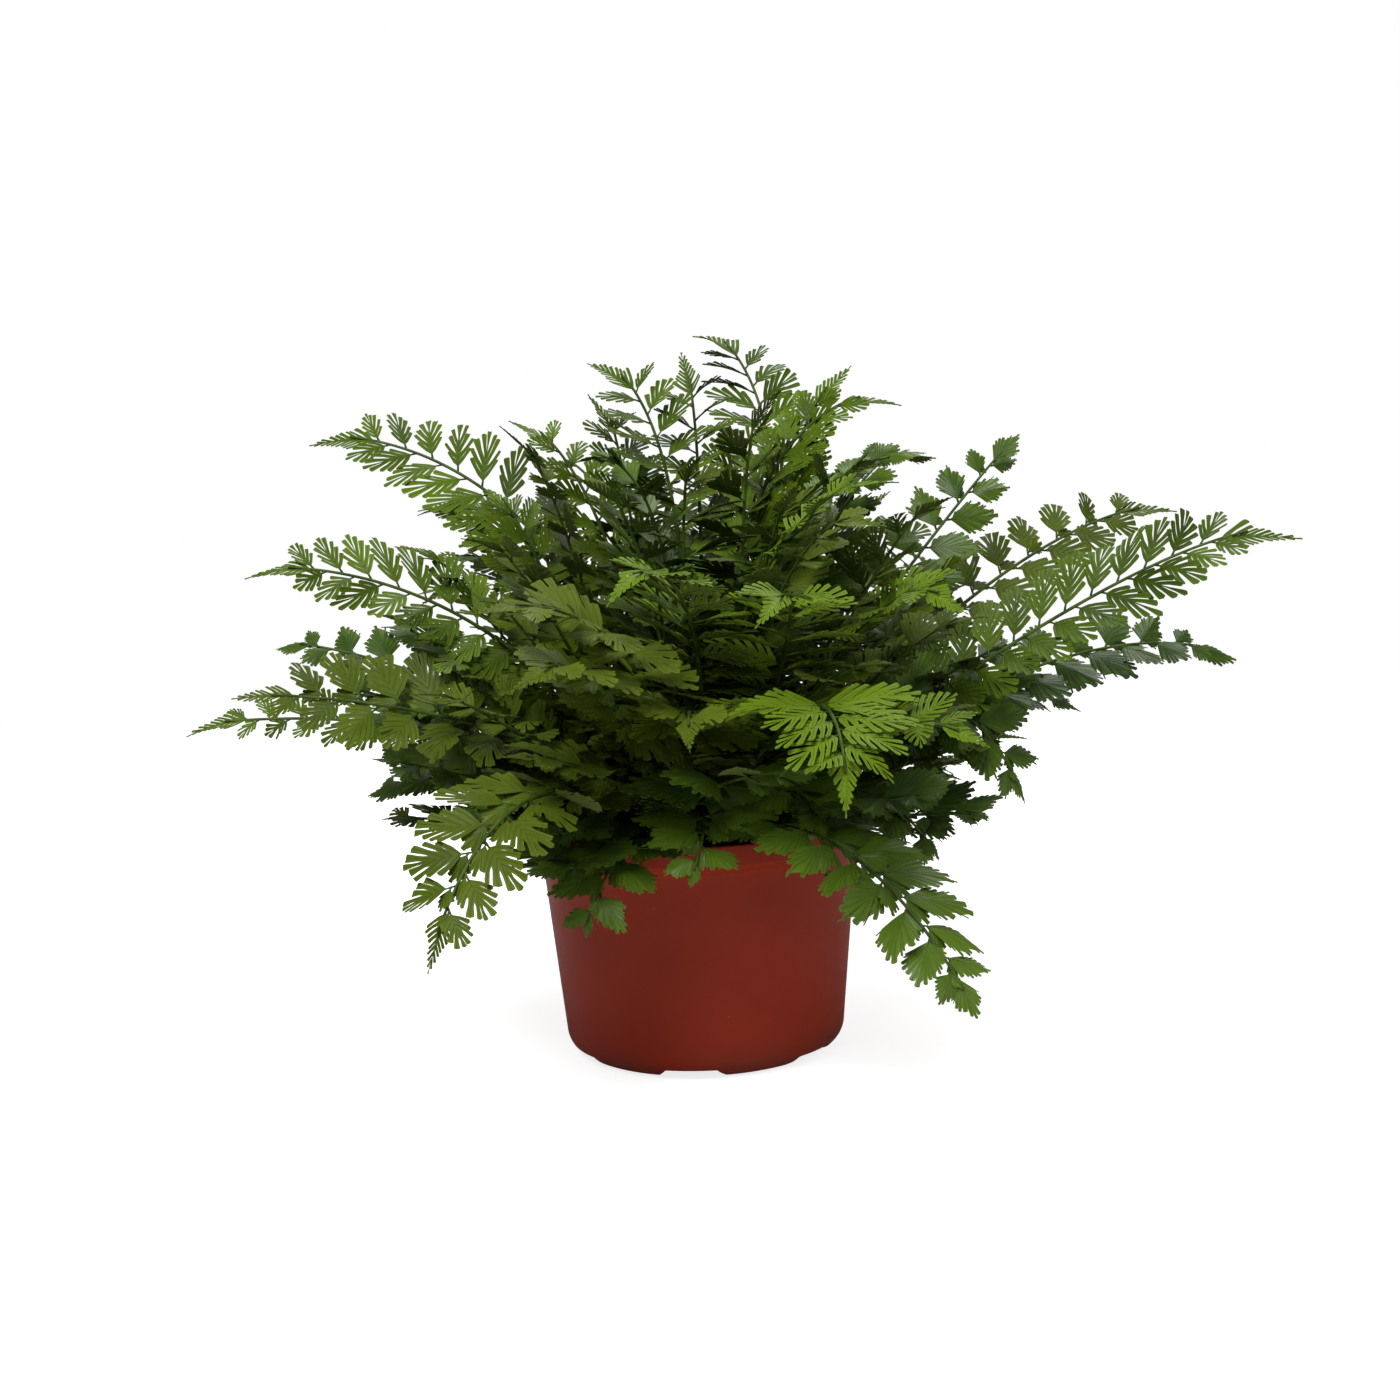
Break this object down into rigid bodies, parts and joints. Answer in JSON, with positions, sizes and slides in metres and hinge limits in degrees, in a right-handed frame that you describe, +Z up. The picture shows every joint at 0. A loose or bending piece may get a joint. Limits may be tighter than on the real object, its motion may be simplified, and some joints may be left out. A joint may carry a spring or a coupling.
{
  "type": "potted fern",
  "caption": "Low spreading spleenwort fern with arching, finely cut fronds, growing in a round terracotta-coloured plastic nursery pot.",
  "frame": {"origin": "centre of the pot's middle foot, on the surface that the pot stands on", "axes": "+Z up, along the pot's axis. +X to the right, the way of the longest spread. -Y towards a viewer in front of the plant"},
  "size_m": [0.3666, 0.3219, 0.243],
  "materials": {
    "pot": "smooth moulded plastic with a soft sheen",
    "potting_mix": "moist peat and bark crumbs",
    "crown": "dark brown papery scales",
    "frond_fine": "young fresh green leaf with a soft sheen",
    "frond_lobed": "grown olive green leaf, leathery",
    "frond_broad": "old dark green leaf, glossy",
    "young_frond": "pale green stalk with brown scales"
  },
  "bodies": {
    "root": {"pot": "pot", "potting_mix": "potting_mix", "crown": "crown", "coiled_front": "young_frond", "coiled_left": "young_frond", "coiled_right": "young_frond", "coiled_back": "young_frond", "frond_front_bright": "frond_fine", "frond_hang_right": "frond_broad", "frond_hang_left": "frond_lobed", "frond_olive_left": "frond_lobed", "frond_front_left": "frond_lobed", "frond_bright_left": "frond_fine", "frond_front_low": "frond_broad", "frond_front_low_left": "frond_broad", "frond_front_low_right": "frond_broad", "frond_arch_left": "frond_fine", "frond_arch_right": "frond_fine", "frond_bright_low_right": "frond_fine", "frond_front_mid": "frond_lobed", "frond_olive_small": "frond_lobed", "frond_bright_right": "frond_fine", "frond_hang_right_back": "frond_broad", "frond_left_low": "frond_lobed", "frond_left_dark": "frond_fine", "frond_left_mid": "frond_broad", "frond_left_spray": "frond_fine", "frond_upper_left": "frond_fine", "frond_left_back": "frond_fine", "frond_left_back_low": "frond_fine", "frond_left_under": "frond_broad", "frond_right_long": "frond_fine", "frond_right_dark": "frond_broad", "frond_right_bright": "frond_lobed", "frond_right_up": "frond_broad", "frond_right_hang": "frond_broad", "frond_right_small": "frond_broad", "frond_top_left": "frond_fine", "frond_top": "frond_fine", "frond_top_right": "frond_fine", "frond_olive_right": "frond_broad", "frond_olive_top": "frond_broad", "frond_upper_inner_left": "frond_fine", "frond_mid_left": "frond_fine", "frond_crest_left": "frond_fine", "frond_crest_right": "frond_fine", "frond_crest_front": "frond_fine", "frond_inner_right": "frond_broad", "frond_back_low_right": "frond_broad", "frond_back_right": "frond_lobed", "frond_back_mid_right": "frond_fine", "frond_back_mid": "frond_lobed", "frond_back_mid_left": "frond_broad", "frond_back_left": "frond_fine", "frond_back_low_left": "frond_broad", "frond_back_hang_right": "frond_broad", "frond_back_hang": "frond_broad", "frond_back_hang_left": "frond_lobed", "frond_back_high_right": "frond_fine", "frond_back_high_left": "frond_lobed"}
  },
  "joints": []
}
